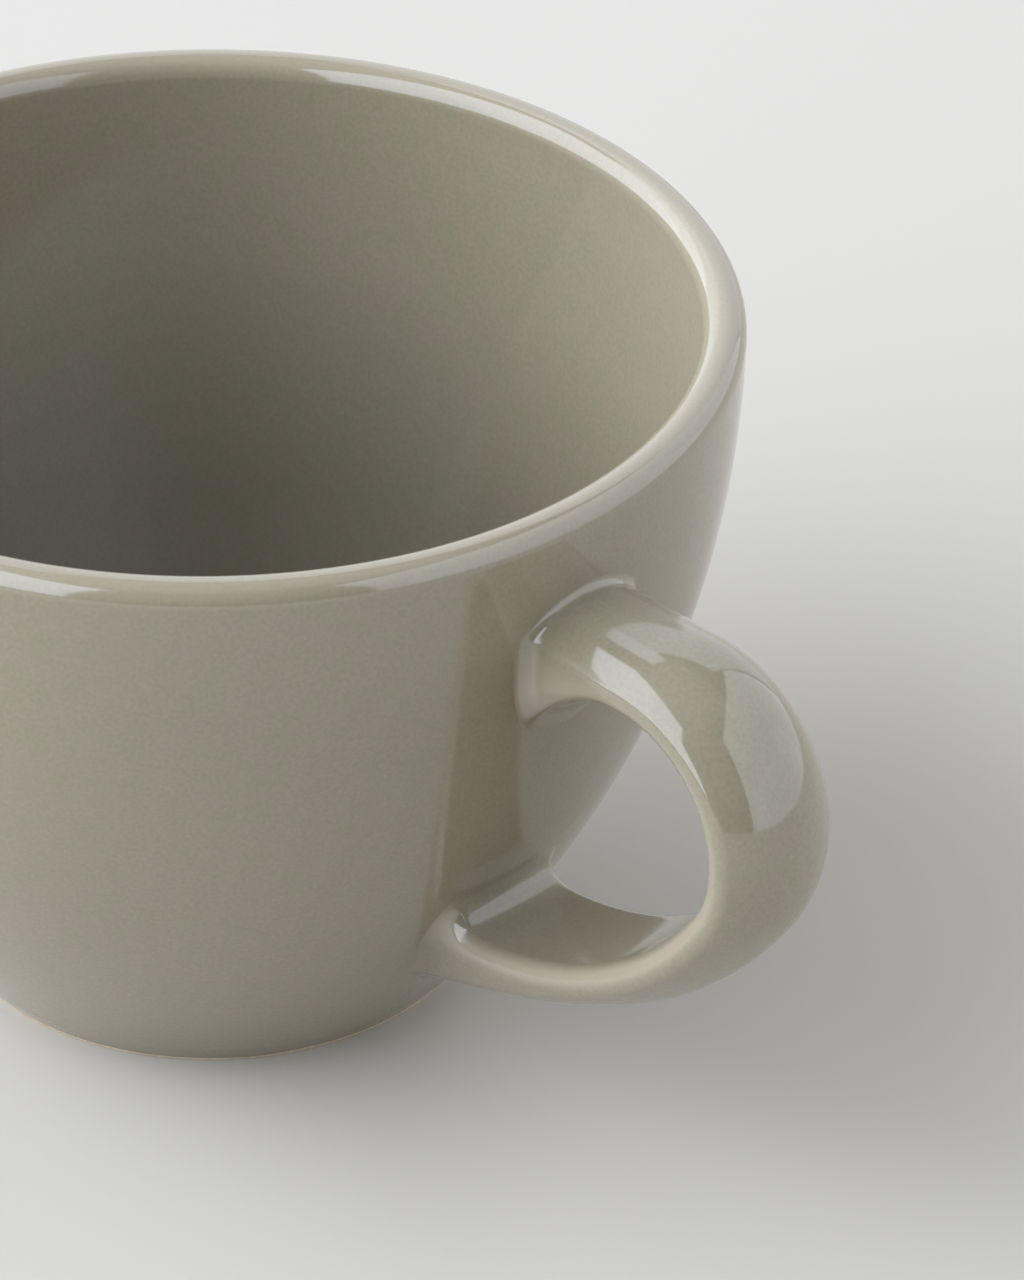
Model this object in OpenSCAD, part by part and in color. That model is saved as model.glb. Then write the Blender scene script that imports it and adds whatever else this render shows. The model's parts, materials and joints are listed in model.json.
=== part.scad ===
// Stoneware cup with a loop handle.
// Millimetres, +Z up. The cup's axis is Z, its foot stands on z = 0 and its handle points along +X.

/* [Bowl] */
// Outer diameter of the lip
rim_d = 95.2; // [88:0.2:104]
// Height from the table to the top of the lip
cup_h = 65.4; // [60:0.2:72]
// Wall thickness at the lip, whose top is a full half round
lip_t = 3.9; // [3.2:0.1:4.6]
// Wall thickness low in the bowl, measured level
low_wall_t = 4.7; // [3.9:0.1:5.6]
// Height at which the low wall thickness is measured
low_wall_z = 20; // [17:0.5:25]
// Thickness of the floor inside the foot ring
floor_t = 4; // [3:0.1:5.5]
// Radius of the inside corner between the wall and the floor
corner_r = 16; // [11:0.5:20]

/* [Foot] */
// Outer diameter of the foot ring at the table
foot_d = 50.2; // [45:0.2:55]
// Height of the foot ring
foot_h = 2.5; // [1.6:0.1:3.6]
// Width of the foot ring at the table
foot_w = 4.2; // [3:0.1:6]
// How much wider the foot ring is at its top, on the inside
foot_flare = 0.8; // [0.2:0.1:1.6]
// Bevel along both edges of the standing face
foot_bevel = 0.3; // [0.1:0.05:0.6]
// Length of the straight taper from the foot's edge up to the curve of the wall
taper_len = 9.5; // [7:0.5:14]

/* [Handle] */
// Width of the strap where it leaves the upper joint
strap_w = 12.8; // [11:0.1:15]
// Width of the strap where it meets the lower joint
strap_low_w = 13.4; // [11:0.1:15]
// Thickness at the upper joint, from the flat inner face to the crown
strap_t = 5.1; // [4.4:0.1:6]
// Thickness at the lower joint
strap_low_t = 5.3; // [4.4:0.1:6]
// Radius along both edges of the inner face
edge_r = 1.7; // [1:0.1:2]
// Drop from the top of the lip to the top of the finger gap
grip_drop = 13.2; // [11.5:0.1:14.5]
// Distance from the lip out to the centre of the tight bend
bend_out = 10.2; // [9.8:0.1:12]
// Radius of the tight bend's inner face
bend_r = 10.4; // [9:0.1:12]
// Angle that the tight bend turns through
bend_turn = 122; // [115:1:127]
// Radius of the inner face along the long sweep back to the wall
sweep_r = 34.8; // [31:0.2:40]

/* [Handle joints] */
// Fillet radius under the upper joint, at the middle of the strap
upper_under_r = 9.6; // [8:0.1:9.9]
// Share by which that fillet spreads less at the strap's edges, which rounds its outline
upper_under_round = 0.5; // [0.2:0.05:0.65]
// Fillet radius along the sides of the upper joint
upper_side_r = 0.9; // [0.6:0.1:1.6]
// Fillet radius on top of the upper joint
upper_top_r = 0.8; // [0.5:0.1:1.6]
// Fillet radius on top of the lower joint
lower_top_r = 4.6; // [3.4:0.1:6]
// Fillet radius along the sides of the lower joint
lower_side_r = 0.9; // [0.6:0.1:1.6]
// How far the lower joint's underside spreads down the wall
lower_under_h = 8; // [6.5:0.1:8.8]
// How far from the wall the lower joint's underside starts to thicken
lower_under_len = 17; // [14:0.5:19]
// Hollow of the lower joint's underside, where 1 is a straight slope and 2 a round fillet
lower_under_hollow = 1.4; // [1.25:0.05:2]

/* [Hidden] */
$fn = 160;
glaze_colour = [0.57, 0.56, 0.50];
clay_colour = [0.80, 0.74, 0.63];

// Arc sizes are kept to the micron, so that arcs and lines end on the same points
function micron(x) = round(x * 1000) / 1000;

// Outer wall: an arc that is upright at the lip, then a straight taper down to the foot's edge.
// The taper crosses the arc just below its tangent point, which gives a clean edge between them.
rim_r = rim_d / 2;
foot_r = foot_d / 2;
lip_r = lip_t / 2;
lip_z = cup_h - lip_r;
run_in = rim_r - foot_r;
wall_arc_r = micron((run_in * run_in + lip_z * lip_z - taper_len * taper_len) / (2 * run_in));
wall_cx = rim_r - wall_arc_r;
cross_a = 0.8;
taper_a = atan2(lip_z, foot_r - wall_cx) - atan2(taper_len, wall_arc_r) + cross_a;
taper_x = wall_cx + wall_arc_r * cos(taper_a);
taper_z = lip_z - wall_arc_r * sin(taper_a);
taper_lean = atan2(taper_x - foot_r, taper_z);
taper_over = wall_arc_r * sin(taper_a - taper_lean);

// Inner wall: an arc that is upright at the lip and gives the low wall its thickness
in_run = rim_r - lip_t - (wall_r(low_wall_z) - low_wall_t);
in_drop = lip_z - low_wall_z;
in_arc_r = micron((in_run * in_run + in_drop * in_drop) / (2 * in_run));
in_cx = rim_r - lip_t - in_arc_r;

// Inside corner: an arc from the floor up to the inner wall, which it crosses just past tangent
floor_z = foot_h + floor_t;
corner_z = floor_z + corner_r;
corner_over = 0.01;
corner_x = micron(in_cx + sqrt(pow(in_arc_r - corner_r, 2) - pow(lip_z - corner_z, 2)) + corner_over);
corner_a = atan2(lip_z - corner_z, corner_x - in_cx);
corner_end_z = lip_z - in_arc_r * sin(corner_a);

// Facets round the strap's section and along its path
crown_steps = 16;
edge_steps = 5;
face_steps = 4;
arm_steps = 1;
bend_steps = 20;
sweep_steps = 18;
joint_steps = 12;

// Path of the strap's inner face: a level arm, a tight bend, then the long sweep
grip_z = cup_h - grip_drop;
bend_x = rim_r + bend_out;
bend_z = grip_z - bend_r;
bend_end_a = 90 - bend_turn;
sweep_x = bend_x - (sweep_r - bend_r) * cos(bend_end_a);
sweep_z = bend_z - (sweep_r - bend_r) * sin(bend_end_a);

// Joints: how far off the wall each one starts, and how deep it runs on before it is trimmed
joint_lead = 0.6;
joint_bury = 1.5;
// Fillets on the inner face, sides and crown as [spread along wall, start off wall, hollow, edge share]
round_hollow = 2;
upper_fillets = [
    [upper_under_r, upper_under_r, round_hollow, upper_under_round],
    [upper_side_r, upper_side_r, round_hollow, 0],
    [upper_top_r, upper_top_r, round_hollow, 0]
];
lower_fillets = [
    [lower_top_r, lower_top_r, round_hollow, 0],
    [lower_side_r, lower_side_r, round_hollow, 0],
    [lower_under_h, lower_under_len, lower_under_hollow, 0]
];
upper_len = joint_len(upper_fillets);
upper_x = wall_r(grip_z) + upper_len;
arm_len = bend_x - upper_x;
lower_len = joint_len(lower_fillets);
lower_a = bend_end_a - reach(function (t) sweep_at(bend_end_a - t), [0, 0], lower_len, bend_turn);

// Radius and slope of the outer wall at height z
function wall_r(z) = z > taper_z
    ? wall_cx + sqrt(pow(wall_arc_r, 2) - pow(lip_z - z, 2))
    : foot_r + z * tan(taper_lean);
function wall_lean(z) = z > taper_z ? asin((lip_z - z) / wall_arc_r) : taper_lean;

// Clearance of a point from the outer wall, and the wall's outward direction there
function wall_gap(p) = (norm([p.x, p.y]) - wall_r(p.z)) * cos(wall_lean(p.z));
function wall_out(p) = let (lean = wall_lean(p.z), level = norm([p.x, p.y]))
    [p.x * cos(lean) / level, p.y * cos(lean) / level, -sin(lean)];

// Place on the path as [point on the inner face, outward direction]
function arm_at(t) = [[bend_x - t, 0, grip_z], [0, 0, 1]];
function turn_at(x, z, r, a) = [[x + r * cos(a), 0, z + r * sin(a)], [cos(a), 0, sin(a)]];
function bend_at(a) = turn_at(bend_x, bend_z, bend_r, a);
function sweep_at(a) = turn_at(sweep_x, sweep_z, sweep_r, a);

// Point of the strap's section at a place on the path: u across the strap, v out from the inner face
function strap_at(place, s) = place[0] + s[0] * [0, 1, 0] + s[1] * place[1];

// How far along a path a point of the section comes to a given gap from the wall
function reach(path, s, gap, far, near = 0, tries = 26) = let (mid = (near + far) / 2)
    tries == 0 ? mid
    : wall_gap(strap_at(path(mid), s)) > gap ? reach(path, s, gap, far, mid, tries - 1)
    : reach(path, s, gap, mid, near, tries - 1);

// Points round the section as [u, v, and the outward direction in u and v]
function on_arc(u, v, r, a) = [u + r * sin(a), v + r * cos(a), sin(a), cos(a)];
function section(w, t) = let (
    edge_u = w / 2 - edge_r,
    crown_r = (edge_u * edge_u / (t - 2 * edge_r) + t) / 2,
    crown_v = t - crown_r,
    edge_a = atan2(edge_u, edge_r - crown_v)
) concat(
    [for (i = [0 : crown_steps]) on_arc(0, crown_v, crown_r, edge_a * (2 * i / crown_steps - 1))],
    [for (i = [1 : edge_steps]) on_arc(edge_u, edge_r, edge_r, edge_a + (180 - edge_a) * i / edge_steps)],
    [for (i = [1 : face_steps - 1]) [edge_u * (1 - 2 * i / face_steps), 0, 0, -1]],
    [for (i = [0 : edge_steps - 1]) on_arc(-edge_u, edge_r, edge_r, 180 + (180 - edge_a) * i / edge_steps)]
);

// Fillet: how far the surface has spread along the wall at a given gap from it, u across a strap half wide
function fillet(f, gap, u = 0, half = 1) = gap > f[1] ? 0
    : f[0] * (1 - f[3] * pow(u / half, 2)) * (1 - pow(1 - pow(1 - gap / f[1], f[2]), 1 / f[2]));
function joint_len(fillets) = max([for (f = fillets) f[1]]) + joint_lead;

// Ring of a joint: the section, brought closer to the wall with each step and spread by its fillets
function joint_ring(path, far, points, fillets, step) = [for (s = points)
    let (
        half = max([for (each_s = points) each_s[0]]),
        start = wall_gap(strap_at(path(0), s)),
        last = step == joint_steps,
        close = start * pow(1 - (last ? step - 1 : step) / joint_steps, 2),
        gap = last ? -joint_bury : close,
        place = path(step == 0 ? 0 : reach(path, s, gap, far)),
        p = strap_at(place, s),
        wall = wall_out(p),
        across = s[2] * fillet(fillets[1], close),
        up = s[3] * fillet(fillets[s[3] < 0 ? 0 : 2], close, s[0], half),
        spread = across * [0, 1, 0] + up * place[1],
        q = p + spread - (spread * wall) * wall
    )
    step == 0 ? p : q - (wall_gap(q) - gap) * wall_out(q)
];

// Solid through a row of rings, closed with a fan of triangles at each end
module loft(rings) {
    n = len(rings[0]);
    last = len(rings) - 1;
    mean = function (ring) [for (axis = [0 : 2]) [for (p = ring) 1] * [for (p = ring) p[axis]] / n];
    points = concat([for (ring = rings) each ring], [mean(rings[0]), mean(rings[last])]);
    start = n * (last + 1);
    faces = concat(
        [for (k = [0 : last - 1], i = [0 : n - 1]) let (j = (i + 1) % n)
            each [[k * n + i, k * n + j, (k + 1) * n + j], [k * n + i, (k + 1) * n + j, (k + 1) * n + i]]],
        [for (i = [0 : n - 1]) [start, (i + 1) % n, i]],
        [for (i = [0 : n - 1]) [start + 1, last * n + i, last * n + (i + 1) % n]]
    );
    polyhedron(points, faces);
}

// Outline of the bowl without its hollow, from a given height up
module bowl_outline(from_z) {
    top_x = taper_x + taper_over * sin(taper_lean);
    top_z = taper_z + taper_over * cos(taper_lean);
    arc_z = micron(taper_z / 2);
    polygon([[0, from_z], [wall_r(from_z), from_z], [top_x, top_z], [0, top_z]]);
    intersection() {
        translate([wall_cx, lip_z]) circle(wall_arc_r, $fn = 720);
        translate([0, arc_z]) square([rim_d, lip_z - arc_z]);
    }
}

// Outline of the hollow: inner wall, inside corner and floor
module hollow_outline() {
    intersection() {
        translate([in_cx, lip_z]) circle(in_arc_r, $fn = 720);
        translate([0, corner_end_z]) square([rim_d, cup_h]);
    }
    intersection() {
        translate([corner_x, corner_z]) circle(corner_r);
        translate([corner_x, floor_z]) square(corner_r);
    }
    translate([0, floor_z]) square([corner_x, corner_r]);
}

// Outline of the lip: the half round on top of the wall
module lip_outline() {
    translate([rim_r - lip_r, lip_z]) intersection() {
        circle(lip_r);
        translate([-lip_t, 0]) square([2 * lip_t, lip_t]);
    }
}

module cup_body() {
    color(glaze_colour) rotate_extrude() {
        difference() {
            bowl_outline(foot_h);
            hollow_outline();
        }
        lip_outline();
    }
}

module foot_ring() {
    in_r = foot_r - foot_w;
    color(clay_colour) rotate_extrude() polygon([
        [in_r + foot_bevel, 0],
        [foot_r - foot_bevel, 0],
        [wall_r(foot_bevel), foot_bevel],
        [wall_r(foot_h), foot_h],
        [in_r - foot_flare, foot_h],
        [in_r, foot_bevel]
    ]);
}

module handle() {
    sweep_turn = bend_end_a - lower_a;
    bend_len = bend_r * bend_turn;
    sweep_len = sweep_r * sweep_turn;
    places = concat(
        [for (i = [arm_steps : -1 : 1]) arm_at(arm_len * i / arm_steps)],
        [for (i = [0 : bend_steps]) bend_at(90 - bend_turn * i / bend_steps)],
        [for (i = [1 : sweep_steps]) sweep_at(bend_end_a - sweep_turn * i / sweep_steps)]
    );
    turned = concat(
        [for (i = [1 : arm_steps]) 0],
        [for (i = [0 : bend_steps]) bend_len * i / bend_steps],
        [for (i = [1 : sweep_steps]) bend_len + sweep_len * i / sweep_steps]
    );
    color(glaze_colour) loft([for (k = [0 : len(places) - 1])
        let (f = turned[k] / (bend_len + sweep_len))
        [for (s = section(strap_w + (strap_low_w - strap_w) * f, strap_t + (strap_low_t - strap_t) * f))
            strap_at(places[k], s)]]);
}

module handle_joint(path, far, points, fillets) {
    color(glaze_colour) difference() {
        loft([for (step = [0 : joint_steps]) joint_ring(path, far, points, fillets, step)]);
        rotate_extrude() bowl_outline(foot_h);
    }
}

module upper_handle_joint() {
    path = function (t) arm_at(arm_len + t);
    handle_joint(path, rim_r, section(strap_w, strap_t), upper_fillets);
}

module lower_handle_joint() {
    path = function (t) sweep_at(lower_a - t);
    handle_joint(path, bend_turn, section(strap_low_w, strap_low_t), lower_fillets);
}

cup_body();
foot_ring();
handle();
upper_handle_joint();
lower_handle_joint();
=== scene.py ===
import json
import math

import bpy
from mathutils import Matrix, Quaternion, Vector

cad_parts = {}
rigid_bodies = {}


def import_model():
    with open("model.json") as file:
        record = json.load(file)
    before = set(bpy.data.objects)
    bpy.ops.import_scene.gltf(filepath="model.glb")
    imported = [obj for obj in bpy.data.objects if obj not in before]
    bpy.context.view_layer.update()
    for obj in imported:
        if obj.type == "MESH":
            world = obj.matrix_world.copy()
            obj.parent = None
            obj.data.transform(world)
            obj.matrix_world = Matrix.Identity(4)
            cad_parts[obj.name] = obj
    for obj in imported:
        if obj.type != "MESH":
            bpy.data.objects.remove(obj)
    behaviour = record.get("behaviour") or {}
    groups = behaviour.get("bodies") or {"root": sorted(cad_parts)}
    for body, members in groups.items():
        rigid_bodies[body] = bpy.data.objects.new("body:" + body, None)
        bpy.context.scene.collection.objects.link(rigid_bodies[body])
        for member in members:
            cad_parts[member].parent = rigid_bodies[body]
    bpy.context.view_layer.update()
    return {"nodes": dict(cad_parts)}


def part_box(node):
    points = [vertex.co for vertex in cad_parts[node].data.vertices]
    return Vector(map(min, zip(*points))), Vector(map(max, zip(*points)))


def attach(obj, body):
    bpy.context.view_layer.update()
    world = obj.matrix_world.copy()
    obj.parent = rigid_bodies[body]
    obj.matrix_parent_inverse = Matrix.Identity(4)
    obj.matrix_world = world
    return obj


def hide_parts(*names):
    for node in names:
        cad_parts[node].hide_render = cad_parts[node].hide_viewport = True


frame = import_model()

mm = 0.001
quarter = math.pi / 2
print("frame loaded:", ", ".join(sorted(frame["nodes"])))


# shared mesh helpers, all in millimetres until the mesh is made

axisR = 1e-6  # a point closer to the axis than this lies on it


def arcPoints(cx, cz, radius, fromA, toA, steps):
    angles = [math.radians(fromA + (toA - fromA) * i / steps) for i in range(steps + 1)]
    return [(cx + radius * math.cos(a), cz + radius * math.sin(a)) for a in angles]


def linePoints(start, end, steps):
    return [tuple(a + (b - a) * i / steps for a, b in zip(start, end))
            for i in range(steps + 1)]


def joinPoints(*runs):
    points = []
    for run in runs:
        points += run if not points else run[1:]  # each run starts where the last one ended
    return points


def newPiece(name, verts, faces, material, thinAndShade=None):
    mesh = bpy.data.meshes.new(name)
    mesh.from_pydata([[c * mm for c in v] for v in verts], [], faces)
    mesh.polygons.foreach_set("use_smooth", [True] * len(mesh.polygons))
    mesh.materials.append(material)
    if thinAndShade:
        # the attribute holds thin glaze above 0 and painted shade below 0
        mesh.attributes.new("thinGlazeAndShade", "FLOAT", "POINT").data.foreach_set("value", thinAndShade)
    mesh.update()
    piece = bpy.data.objects.new(name, mesh)
    bpy.context.scene.collection.objects.link(piece)
    return piece


def lathe(name, outline, turns, material, closed=False, sharpAt=(), thinAndShadeAt=None):
    verts, rings, faces, thinAndShade = [], [], [], []
    for i, (r, z) in enumerate(outline):
        around = 1 if r < axisR else turns
        thinAndShade += [thinAndShadeAt[i] if thinAndShadeAt else 0] * around
        if around == 1:
            rings.append([len(verts)] * turns)  # a single point on the axis
            verts.append((0, 0, z))
            continue
        rings.append(list(range(len(verts), len(verts) + turns)))
        for k in range(turns):
            a = 2 * math.pi * k / turns
            verts.append((r * math.cos(a), r * math.sin(a), z))
    pairs = list(zip(rings, rings[1:])) + ([(rings[-1], rings[0])] if closed else [])
    for low, high in pairs:
        for k in range(turns):
            n = (k + 1) % turns
            corners = [low[k], low[n], high[n], high[k]]
            faces.append(list(dict.fromkeys(corners)))  # a triangle next to the axis
    piece = newPiece(name, verts, faces, material, thinAndShade)
    sharp = {frozenset((rings[i][k], rings[i][(k + 1) % turns]))
             for i in sharpAt for k in range(turns)}
    for edge in piece.data.edges:
        edge.use_edge_sharp = frozenset(edge.vertices) in sharp
    return piece


def loft(name, rings, material, normals, thinAndShadeAt):
    count = len(rings[0])
    lastRing = (len(rings) - 1) * count
    thinAndShade = thinAndShadeAt * len(rings) + [0, 0]  # the zeros are the middles of the two ends
    verts = [p for ring in rings for p in ring]
    faces = []
    for k in range(len(rings) - 1):
        for i in range(count):
            a, b = k * count + i, k * count + (i + 1) % count
            faces.append([a, b, b + count, a + count])
    for ring, first, flip in ((rings[0], 0, True), (rings[-1], lastRing, False)):
        middle = len(verts)
        verts.append([sum(p[axis] for p in ring) / count for axis in range(3)])
        for i in range(count):
            a, b = first + i, first + (i + 1) % count
            faces.append([middle, b, a] if flip else [middle, a, b])
    side = rings[1][0] - rings[0][0]
    if side.cross(rings[0][1] - rings[0][0]).dot(normals[0]) > 0:
        faces = [face[::-1] for face in faces]  # faces look outwards whichever way the rings run
    piece = newPiece(name, verts, faces, material, thinAndShade)
    shaped = [v.vector.copy() for v in piece.data.vertex_normals]
    for index, normal in normals.items():
        shaped[index] = normal  # true normals where this piece runs on into its neighbour
    piece.data.normals_split_custom_set_from_vertices(shaped)
    return piece


# outline of the cup, shared by the bowl, the foot and the ends of the handle

cupLow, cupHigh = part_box("cup_body")
cup = {
    "rimR": cupHigh.x / mm,
    "height": cupHigh.z / mm,
    "footH": cupLow.z / mm,  # the bowl starts on top of the foot ring
    "lipT": 3.9,
    "lowWallT": 4.7,
    "lowWallZ": 20,  # height at which the low wall is measured
    "floorT": 4,
    "cornerR": 16,
    "footD": 50.2,
    "taperLen": 9.5,  # straight part of the wall above the foot
    "lipThin": 0.35,  # share of the thin-glaze colour on top of the lip
    "paintedShadeZ": (46, 24),  # painted shade: the inside is painted darker from the first height down to the second
    "baseSteps": 12,
    "taperSteps": 8,
    "wallSteps": 48,
    "lipSteps": 40,
    "innerSteps": 40,
    "cornerSteps": 20,
    "floorSteps": 10,
    "turns": 288,
}

lipR = cup["lipT"] / 2
lipZ = cup["height"] - lipR
footR = cup["footD"] / 2
runIn = cup["rimR"] - footR
wallArcR = (runIn ** 2 + lipZ ** 2 - cup["taperLen"] ** 2) / (2 * runIn)
wallCx = cup["rimR"] - wallArcR
taperA = math.atan2(lipZ, footR - wallCx) - math.atan2(cup["taperLen"], wallArcR)
taperZ = lipZ - wallArcR * math.sin(taperA)


def wallRadius(z):
    if z > taperZ:
        return wallCx + math.sqrt(wallArcR ** 2 - (lipZ - z) ** 2)
    return footR + z * math.tan(taperA)


def wallLean(z):
    return math.asin((lipZ - z) / wallArcR) if z > taperZ else taperA


def wallOut(p):
    lean = wallLean(p.z)
    level = math.hypot(p.x, p.y)
    return Vector((p.x * math.cos(lean) / level, p.y * math.cos(lean) / level, -math.sin(lean)))


def wallGap(p):
    return (math.hypot(p.x, p.y) - wallRadius(p.z)) * math.cos(wallLean(p.z))


def makeCupBody(material):
    inR = cup["rimR"] - cup["lipT"]
    inRun = inR - (wallRadius(cup["lowWallZ"]) - cup["lowWallT"])
    inDrop = lipZ - cup["lowWallZ"]
    inArcR = (inRun ** 2 + inDrop ** 2) / (2 * inRun)
    inCx = inR - inArcR
    floorZ = cup["footH"] + cup["floorT"]
    cornerZ = floorZ + cup["cornerR"]
    cornerX = inCx + math.sqrt((inArcR - cup["cornerR"]) ** 2 - (lipZ - cornerZ) ** 2)
    cornerA = math.degrees(math.atan2(cornerZ - lipZ, cornerX - inCx))
    footEdge = (wallRadius(cup["footH"]), cup["footH"])
    base = linePoints((0, cup["footH"]), footEdge, cup["baseSteps"])
    outer = joinPoints(
        base,
        linePoints(footEdge, (wallRadius(taperZ), taperZ), cup["taperSteps"]),
        arcPoints(wallCx, lipZ, wallArcR, -math.degrees(taperA), 0, cup["wallSteps"]),
        arcPoints(cup["rimR"] - lipR, lipZ, lipR, 0, 180, cup["lipSteps"]),
    )
    inner = joinPoints(
        arcPoints(inCx, lipZ, inArcR, 0, cornerA, cup["innerSteps"]),
        arcPoints(cornerX, cornerZ, cup["cornerR"], cornerA, -90, cup["cornerSteps"]),
        linePoints((cornerX, floorZ), (0, floorZ), cup["floorSteps"]),
    )
    outline = joinPoints(outer, inner)
    high, low = cup["paintedShadeZ"]
    thinAndShadeAt = [cup["lipThin"] * max(0, (z - lipZ) / lipR) for r, z in outline]
    for i in range(len(outer), len(outline)):
        depth = (high - outline[i][1]) / (high - low)
        thinAndShadeAt[i] -= min(1, max(0, depth))  # below 0 is painted shade inside the bowl
    body = lathe("cupBody", outline, cup["turns"], material,
                 sharpAt=[len(base) - 1], thinAndShadeAt=thinAndShadeAt)
    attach(body, "root")
    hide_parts("cup_body")
    print("cup body:", len(body.data.polygons), "faces")


foot = {
    "width": 4.2,
    "flare": 0.8,  # the ring is this much wider at its top, on the inside
    "edgeR": 0.3,
    "glazeZ": 0.45,  # the glaze stops this far above the table
    "innerSteps": 6,
    "edgeSteps": 5,
    "baseSteps": 8,
    "outerSteps": 10,
    "topSteps": 6,
}


def makeFootRing(material):
    inR = footR - foot["width"]
    top = cup["footH"]
    edge = foot["edgeR"]
    innerTop, outerTop = (inR - foot["flare"], top), (wallRadius(top), top)
    outline = joinPoints(
        linePoints(innerTop, (inR, edge), foot["innerSteps"]),
        arcPoints(inR + edge, edge, edge, 180, 270, foot["edgeSteps"]),
        linePoints((inR + edge, 0), (footR - edge, 0), foot["baseSteps"]),
        arcPoints(footR - edge, edge, edge, -90, 0, foot["edgeSteps"]),
        linePoints((footR, edge), outerTop, foot["outerSteps"]),
        linePoints(outerTop, innerTop, foot["topSteps"]),
    )[:-1]
    last = len(outline) - foot["topSteps"]  # outer edge of the ring's top
    ring = lathe("footRing", outline, cup["turns"], material, closed=True, sharpAt=[0, last])
    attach(ring, "root")
    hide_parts("foot_ring")
    print("foot ring:", len(ring.data.polygons), "faces")


# handle: a strap that leaves the wall level, bends tightly and sweeps back to the wall

handle = {
    "topW": 12.8,
    "lowW": 13.4,
    "topT": 5.1,
    "lowT": 5.3,
    "edgeR": 1.7,
    "gripDrop": 13.2,  # from the top of the lip to the top of the finger gap
    "bendOut": 10.2,  # from the lip out to the centre of the tight bend
    "bendR": 10.4,
    "bendTurn": 122,
    "sweepR": 34.8,
    "edgeThin": 0.95,  # share of the thin-glaze colour on the inner edges
    "edgeFacing": 128,  # where it is strongest, from 0 on the crown to 180 on the inner face
    "edgeSpread": 45,  # degrees over which it fades to either side
    "crownSteps": 36,
    "edgeSteps": 14,
    "faceSteps": 14,
    "stations": 150,
}
upperJoint = {
    "innerH": 9.6,  # spread of the fillet along the wall
    "innerLen": 9.6,  # where it starts, off the wall
    "innerHollow": 1.45,  # 1 is a straight slope, 2 a round fillet
    "innerRound": 0.3,  # share by which it spreads less at the edges
    "sideR": 1.5,
    "waist": 0.6,  # the arm narrows this much on each side towards the wall
    "outerH": 0.8,
    "outerLen": 0.8,
    "outerHollow": 2,
    "outerRound": 0,
    "lead": 0.6,  # plain strap before the longest fillet starts
    "rings": 44,
}
lowerJoint = {
    "innerH": 4.6,
    "innerLen": 4.6,
    "innerHollow": 2,
    "innerRound": 0,
    "sideR": 0.9,
    "waist": 0,
    "outerH": 8,
    "outerLen": 17,
    "outerHollow": 1.4,
    "outerRound": 0,
    "lead": 0.6,
    "rings": 44,
}
roundHollow = 2  # of the fillets at the sides of both joints
buried = 0.8  # the closing end of a joint lies this deep in the wall
halvings = 40  # steps of the search for a distance from the wall

across = Vector((0, 1, 0))
gripZ = cup["height"] - handle["gripDrop"]
bendX = cup["rimR"] + handle["bendOut"]
bendZ = gripZ - handle["bendR"]
bendEndA = math.radians(90 - handle["bendTurn"])
sweepX = bendX - (handle["sweepR"] - handle["bendR"]) * math.cos(bendEndA)
sweepZ = bendZ - (handle["sweepR"] - handle["bendR"]) * math.sin(bendEndA)


def armPlace(t):
    return Vector((bendX - t, 0, gripZ)), Vector((0, 0, 1))


def turnPlace(x, z, radius, a):
    out = Vector((math.cos(a), 0, math.sin(a)))
    return Vector((x, 0, z)) + radius * out, out


def sweepPlace(a):
    return turnPlace(sweepX, sweepZ, handle["sweepR"], a)


def strapSection(width, thick):
    edgeR = handle["edgeR"]
    edgeU = width / 2 - edgeR
    crownR = (edgeU ** 2 / (thick - 2 * edgeR) + thick) / 2
    crownV = thick - crownR
    edgeA = math.atan2(edgeU, edgeR - crownV)
    edgeTurn = math.pi - edgeA  # from the end of the crown round to the inner face

    def onArc(u, v, radius, a):  # a place across and up the section, and its normal
        return (u + radius * math.sin(a), v + radius * math.cos(a), math.sin(a), math.cos(a))

    crown, edge, face = handle["crownSteps"], handle["edgeSteps"], handle["faceSteps"]
    points = [onArc(0, crownV, crownR, edgeA * (2 * i / crown - 1)) for i in range(crown + 1)]
    points += [onArc(edgeU, edgeR, edgeR, edgeA + edgeTurn * i / edge) for i in range(1, edge + 1)]
    points += [(edgeU * (1 - 2 * i / face), 0, 0, -1) for i in range(1, face)]
    points += [onArc(-edgeU, edgeR, edgeR, math.pi + edgeTurn * i / edge) for i in range(edge)]
    return points


def strapThin(section):
    facing = [math.degrees(math.atan2(abs(s[2]), s[3])) for s in section]
    return [handle["edgeThin"] * max(0, 1 - abs(a - handle["edgeFacing"]) / handle["edgeSpread"])
            for a in facing]


def strapPoint(place, s):
    return place[0] + s[0] * across + s[1] * place[1]


def strapNormal(place, s):
    return s[2] * across + s[3] * place[1]


def reachGap(path, s, gap, far):
    near = 0.0
    for _ in range(halvings):
        mid = (near + far) / 2
        if wallGap(strapPoint(path(mid), s)) > gap:
            near = mid
        else:
            far = mid
    return (near + far) / 2


upperLen = max(upperJoint["innerLen"], upperJoint["outerLen"]) + upperJoint["lead"]
lowerLen = max(lowerJoint["innerLen"], lowerJoint["outerLen"]) + lowerJoint["lead"]
armLen = bendX - wallRadius(gripZ) - upperLen
lowerTurn = reachGap(lambda t: sweepPlace(bendEndA - t), (0, 0), lowerLen, quarter)
lowerA = bendEndA - lowerTurn


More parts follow.
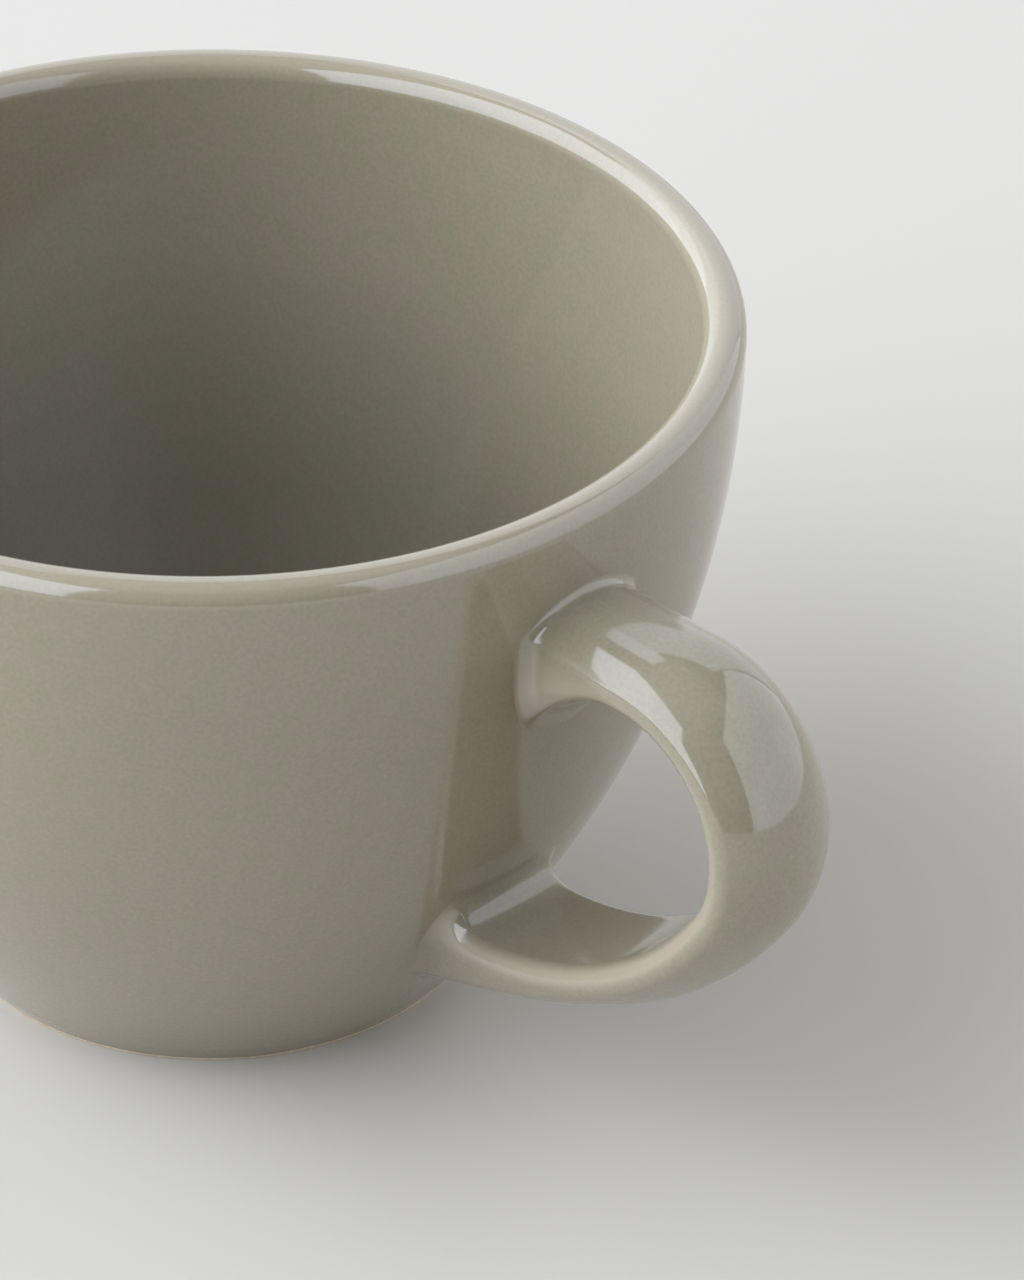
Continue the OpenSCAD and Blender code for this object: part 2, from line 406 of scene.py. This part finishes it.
def makeHandle(material):
    bendLen = handle["bendR"] * math.radians(handle["bendTurn"])
    sweepLen = handle["sweepR"] * (bendEndA - lowerA)
    total = armLen + bendLen + sweepLen
    rings, normals = [], {}
    for k in range(handle["stations"] + 1):
        run = total * k / handle["stations"]
        if run < armLen:
            place = armPlace(armLen - run)
        elif run < armLen + bendLen:
            a = quarter - (run - armLen) / handle["bendR"]
            place = turnPlace(bendX, bendZ, handle["bendR"], a)
        else:
            place = sweepPlace(bendEndA - (run - armLen - bendLen) / handle["sweepR"])
        f = max(0, run - armLen) / (total - armLen)
        width = handle["topW"] + (handle["lowW"] - handle["topW"]) * f
        thick = handle["topT"] + (handle["lowT"] - handle["topT"]) * f
        section = strapSection(width, thick)
        for i, s in enumerate(section):
            normals[k * len(section) + i] = strapNormal(place, s)
        rings.append([strapPoint(place, s) for s in section])
    strap = loft("handleStrap", rings, material, normals, strapThin(section))
    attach(strap, "root")
    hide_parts("handle")
    print("handle strap:", len(strap.data.polygons), "faces")


def filletSpread(height, start, hollow, gap):
    if gap > start:
        return 0
    return height * (1 - max(0, 1 - (1 - gap / start) ** hollow) ** (1 / hollow))


def makeJoint(name, node, joint, path, far, section, material):
    rings, normals = [], {}
    half = max(s[0] for s in section)
    for step in range(joint["rings"] + 1):
        ring = []
        for i, s in enumerate(section):
            start = wallGap(strapPoint(path(0), s))
            gap = start * (1 - step / joint["rings"]) ** 2  # the rings lie closer near the wall
            place = path(0) if step == 0 else path(reachGap(path, s, gap, far))
            p = strapPoint(place, s)
            wall = wallOut(p)
            side = "inner" if s[3] < 0 else "outer"
            height = joint[side + "H"] * (1 - joint[side + "Round"] * (s[0] / half) ** 2)
            upright = filletSpread(height, joint[side + "Len"], joint[side + "Hollow"], gap)
            sideways = filletSpread(joint["sideR"], joint["sideR"], roundHollow, gap)
            sideways -= joint["waist"] * (1 - gap / start) ** 2
            spread = s[2] * sideways * across + s[3] * upright * place[1]
            q = p + spread - spread.dot(wall) * wall
            if step > 0:
                q -= (wallGap(q) - gap) * wallOut(q)  # back to the same gap on the curved wall
            if step == 0:
                normals[i] = strapNormal(place, s)
            if step == joint["rings"]:
                normals[step * len(section) + i] = wallOut(q)
            ring.append(q)
        rings.append(ring)
    rings.append([q - buried * wallOut(q) for q in rings[-1]])
    piece = loft(name, rings, material, normals, strapThin(section))
    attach(piece, "root")
    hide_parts(node)
    print(name + ":", len(piece.data.polygons), "faces")


# finishes

glazeLook = {
    "greenGrey": (0.249, 0.228, 0.155, 1),  # patches of thick glaze
    "pinkGrey": (0.263, 0.227, 0.162, 1),  # thinner glaze between them
    "cream": (0.39, 0.34, 0.255, 1),  # on edges, where the clay shows through
    "patchScale": 430,
    "grainScale": 2600,
    "grain": 0.05,
    "driftScale": 26,
    "drift": 0.03,
    "paintedShade": 0.34,  # painted shade: how much darker the bottom inside is painted
    "glossScale": 160,
    "roughness": (0.07, 0.11),
    "ior": 1.74,
    "rippleScale": 210,
    "ripple": 0.03,
    "rippleDepth": 0.2,
}
clayLook = {
    "pale": (0.66, 0.57, 0.43, 1),
    "dark": (0.50, 0.39, 0.27, 1),
    "speckScale": 1500,
    "roughness": 0.8,
    "waveScale": 260,
    "wave": 0.12,  # how far the edge of the glaze wanders up and down
    "edgeSoft": 0.04,  # half the height over which the glaze runs out
}


def newMaterial(name):
    material = bpy.data.materials.new(name)
    material.use_nodes = True
    nodes = material.node_tree.nodes
    return nodes, material.node_tree.links, nodes["Principled BSDF"], material


def noiseValue(nodes, links, scale, detail=1):
    place = nodes.new("ShaderNodeTexCoord")
    noise = nodes.new("ShaderNodeTexNoise")
    noise.inputs["Scale"].default_value = scale
    noise.inputs["Detail"].default_value = detail
    links.new(place.outputs["Object"], noise.inputs["Vector"])
    return noise.outputs["Fac"]


def mapValue(nodes, links, value, low, high, fromLow=0.3, fromHigh=0.7):
    span = nodes.new("ShaderNodeMapRange")
    span.inputs["From Min"].default_value = fromLow
    span.inputs["From Max"].default_value = fromHigh
    span.inputs["To Min"].default_value = low
    span.inputs["To Max"].default_value = high
    links.new(value, span.inputs["Value"])
    return span.outputs["Result"]


def mixColour(nodes, links, share, a, b):
    mix = nodes.new("ShaderNodeMix")
    mix.data_type = "RGBA"
    links.new(share, mix.inputs["Factor"])
    for socket, colour in ((mix.inputs["A"], a), (mix.inputs["B"], b)):
        if isinstance(colour, tuple):
            socket.default_value = colour
        else:
            links.new(colour, socket)
    return mix.outputs["Result"]


def shadeColour(nodes, links, colour, value):
    shade = nodes.new("ShaderNodeHueSaturation")
    links.new(colour, shade.inputs["Color"])
    links.new(value, shade.inputs["Value"])
    return shade.outputs["Color"]


def glazeColour(nodes, links):
    patches = noiseValue(nodes, links, glazeLook["patchScale"], detail=2)
    patch = mapValue(nodes, links, patches, 0, 1)
    colour = mixColour(nodes, links, patch, glazeLook["greenGrey"], glazeLook["pinkGrey"])
    for kind in ("grain", "drift"):
        depth = glazeLook[kind]
        noise = noiseValue(nodes, links, glazeLook[kind + "Scale"])
        value = mapValue(nodes, links, noise, 1 - depth, 1 + depth)
        colour = shadeColour(nodes, links, colour, value)
    thinAndShade = nodes.new("ShaderNodeAttribute")
    thinAndShade.attribute_name = "thinGlazeAndShade"
    # painted shade: the inside of the bowl is darkened towards its bottom, from the negative part
    # of the attribute
    paintedShade = mapValue(nodes, links, thinAndShade.outputs["Fac"], 1 - glazeLook["paintedShade"], 1, -1, 0)
    colour = shadeColour(nodes, links, colour, paintedShade)
    return mixColour(nodes, links, thinAndShade.outputs["Fac"], colour, glazeLook["cream"])


def makeGlaze():
    nodes, links, shader, material = newMaterial("warmGreyGlaze")
    links.new(glazeColour(nodes, links), shader.inputs["Base Color"])
    shine = noiseValue(nodes, links, glazeLook["glossScale"], detail=2)
    gloss = mapValue(nodes, links, shine, *glazeLook["roughness"])
    links.new(gloss, shader.inputs["Roughness"])
    shader.inputs["IOR"].default_value = glazeLook["ior"]
    bump = nodes.new("ShaderNodeBump")
    bump.inputs["Strength"].default_value = glazeLook["ripple"]
    bump.inputs["Distance"].default_value = glazeLook["rippleDepth"] * mm
    links.new(noiseValue(nodes, links, glazeLook["rippleScale"]), bump.inputs["Height"])
    links.new(bump.outputs["Normal"], shader.inputs["Normal"])
    return material


def makeFootClay():
    nodes, links, shader, material = newMaterial("footClay")
    specks = noiseValue(nodes, links, clayLook["speckScale"], detail=3)
    speck = mapValue(nodes, links, specks, 0, 1)
    clay = mixColour(nodes, links, speck, clayLook["pale"], clayLook["dark"])
    place = nodes.new("ShaderNodeTexCoord")
    split = nodes.new("ShaderNodeSeparateXYZ")
    links.new(place.outputs["Object"], split.inputs["Vector"])
    wave = clayLook["wave"] * mm
    wander = mapValue(nodes, links, noiseValue(nodes, links, clayLook["waveScale"]), -wave, wave)
    level = nodes.new("ShaderNodeMath")  # adds the wander to the height
    links.new(split.outputs["Z"], level.inputs[0])
    links.new(wander, level.inputs[1])
    edge, soft = foot["glazeZ"] * mm, clayLook["edgeSoft"] * mm
    glazed = mapValue(nodes, links, level.outputs["Value"], 0, 1, edge - soft, edge + soft)
    colour = mixColour(nodes, links, glazed, clay, glazeColour(nodes, links))
    links.new(colour, shader.inputs["Base Color"])
    matt, glossy = clayLook["roughness"], glazeLook["roughness"][1]
    gloss = mapValue(nodes, links, glazed, matt, glossy, 0, 1)
    links.new(gloss, shader.inputs["Roughness"])
    return material


glaze = makeGlaze()
makeCupBody(glaze)
makeFootRing(makeFootClay())
makeHandle(glaze)
makeJoint("upperJoint", "upper_handle_joint", upperJoint, lambda t: armPlace(armLen + t),
          cup["rimR"], strapSection(handle["topW"], handle["topT"]), glaze)
makeJoint("lowerJoint", "lower_handle_joint", lowerJoint, lambda t: sweepPlace(lowerA - t),
          quarter, strapSection(handle["lowW"], handle["lowT"]), glaze)


# stage: floor, light and camera

cameraSet = {
    "azimuth": 48.4,  # turn of the camera from the front, in degrees
    "away": 477.0,  # level distance from the axis of the cup
    "high": 345.8,
    "yaw": 3.297,  # turned this far to the right of the axis
    "pitch": 33.564,
    "roll": 1.196,
    "lens": 176.04,
}
turnA = math.radians(cameraSet["azimuth"])


def stageAt(right, back, up):
    level = Vector((right * math.cos(turnA) - back * math.sin(turnA),
                    right * math.sin(turnA) + back * math.cos(turnA), up))
    return level * mm


def makeCamera():
    data = bpy.data.cameras.new("photoCamera")
    data.lens = cameraSet["lens"]
    camera = bpy.data.objects.new("photoCamera", data)
    bpy.context.scene.collection.objects.link(camera)
    camera.location = stageAt(0, -cameraSet["away"], cameraSet["high"])
    yaw, pitch = math.radians(cameraSet["yaw"]), math.radians(cameraSet["pitch"])
    level = math.cos(pitch)
    ahead = stageAt(math.sin(yaw) * level, math.cos(yaw) * level, -math.sin(pitch))
    roll = Quaternion((0, 0, 1), math.radians(cameraSet["roll"]))
    camera.rotation_euler = (ahead.to_track_quat("-Z", "Y") @ roll).to_euler()
    bpy.context.scene.camera = camera


floorLook = {
    "colour": (0.505, 0.478, 0.427, 1),
    "roughness": 0.9,
    "reach": 3000,
}


def makeFloor():
    shader, material = newMaterial("paleFloor")[2:]
    shader.inputs["Base Color"].default_value = floorLook["colour"]
    shader.inputs["Roughness"].default_value = floorLook["roughness"]
    reach = floorLook["reach"]
    corners = [(-reach, -reach, 0), (reach, -reach, 0), (reach, reach, 0), (-reach, reach, 0)]
    floor = newPiece("floor", corners, [[0, 1, 2, 3]], material)


lampRing = 1600  # distance of all lamps from the cup
wallLamps = [  # "at" turns from the picture's right by way of its back, seen from the cup
    {"name": "window", "at": 195, "from": -55, "to": 47, "low": 6, "top": 66,
     "glow": (2.75, 2.95, 3.35)},
    {"name": "lowerSash", "at": 195, "from": -42, "to": 16, "low": 6, "top": 54,
     "glow": (3.95, 4.15, 4.55)},  # adds to the window
    {"name": "rearSash", "at": 131, "from": -9, "to": 9, "low": 0, "top": 46,
     "glow": (2.3, 2.4, 2.65)},
    {"name": "rearWindow", "at": 113, "from": -11, "to": 9, "low": 0, "top": 62,
     "glow": (1.4, 1.5, 1.7)},
    {"name": "rearWall", "at": 77, "from": -26, "to": 25, "low": 0, "top": 55,
     "glow": (1.05, 1.1, 1.2)},
    {"name": "sidePanel", "at": 347, "from": -45, "to": 64, "low": 0, "top": 64,
     "glow": (1.36, 1.41, 1.53)},
    {"name": "sideLow", "at": 347, "from": -45, "to": 64, "low": 0, "top": 28,
     "glow": (0.85, 0.9, 0.95)},  # adds to the side panel
]
ceilingLamp = {"wide": 46, "glow": (0.25, 0.25, 0.25)}
roomGlow = 0.02  # even light from all round


def makeLamp(name, at, aim, size, glow):
    data = bpy.data.lights.new(name, "AREA")
    data.shape = "RECTANGLE"
    data.size, data.size_y = size[0] * mm, size[1] * mm
    data.color = glow
    data.energy = math.pi * data.size * data.size_y  # makes the lamp as bright as its glow
    lamp = bpy.data.objects.new(name, data)
    bpy.context.scene.collection.objects.link(lamp)
    lamp.location = stageAt(*at)
    lamp.rotation_euler = stageAt(*aim).to_track_quat("-Z", "Y").to_euler()


def makeLamps():
    for wall in wallLamps:
        start, end, low, top = (lampRing * math.tan(math.radians(wall[side]))
                                for side in ("from", "to", "low", "top"))
        right, back = math.cos(math.radians(wall["at"])), math.sin(math.radians(wall["at"]))
        shift = (start + end) / 2  # along the wall
        at = (lampRing * right - shift * back, lampRing * back + shift * right, (low + top) / 2)
        makeLamp(wall["name"], at, (-right, -back, 0), (end - start, top - low), wall["glow"])
    width = 2 * lampRing * math.tan(math.radians(ceilingLamp["wide"] / 2))
    makeLamp("ceiling", (0, 0, lampRing), (0, 0, -1), (width, width), ceilingLamp["glow"])


def makeWorld():
    world = bpy.data.worlds.new("softRoom")
    bpy.context.scene.world = world
    world.use_nodes = True
    background = world.node_tree.nodes["Background"]
    background.inputs["Color"].default_value = (1, 1, 1, 1)
    background.inputs["Strength"].default_value = roomGlow


makeCamera()
makeFloor()
makeLamps()
makeWorld()
bpy.context.scene.view_settings.view_transform = "Standard"
print("stage ready")
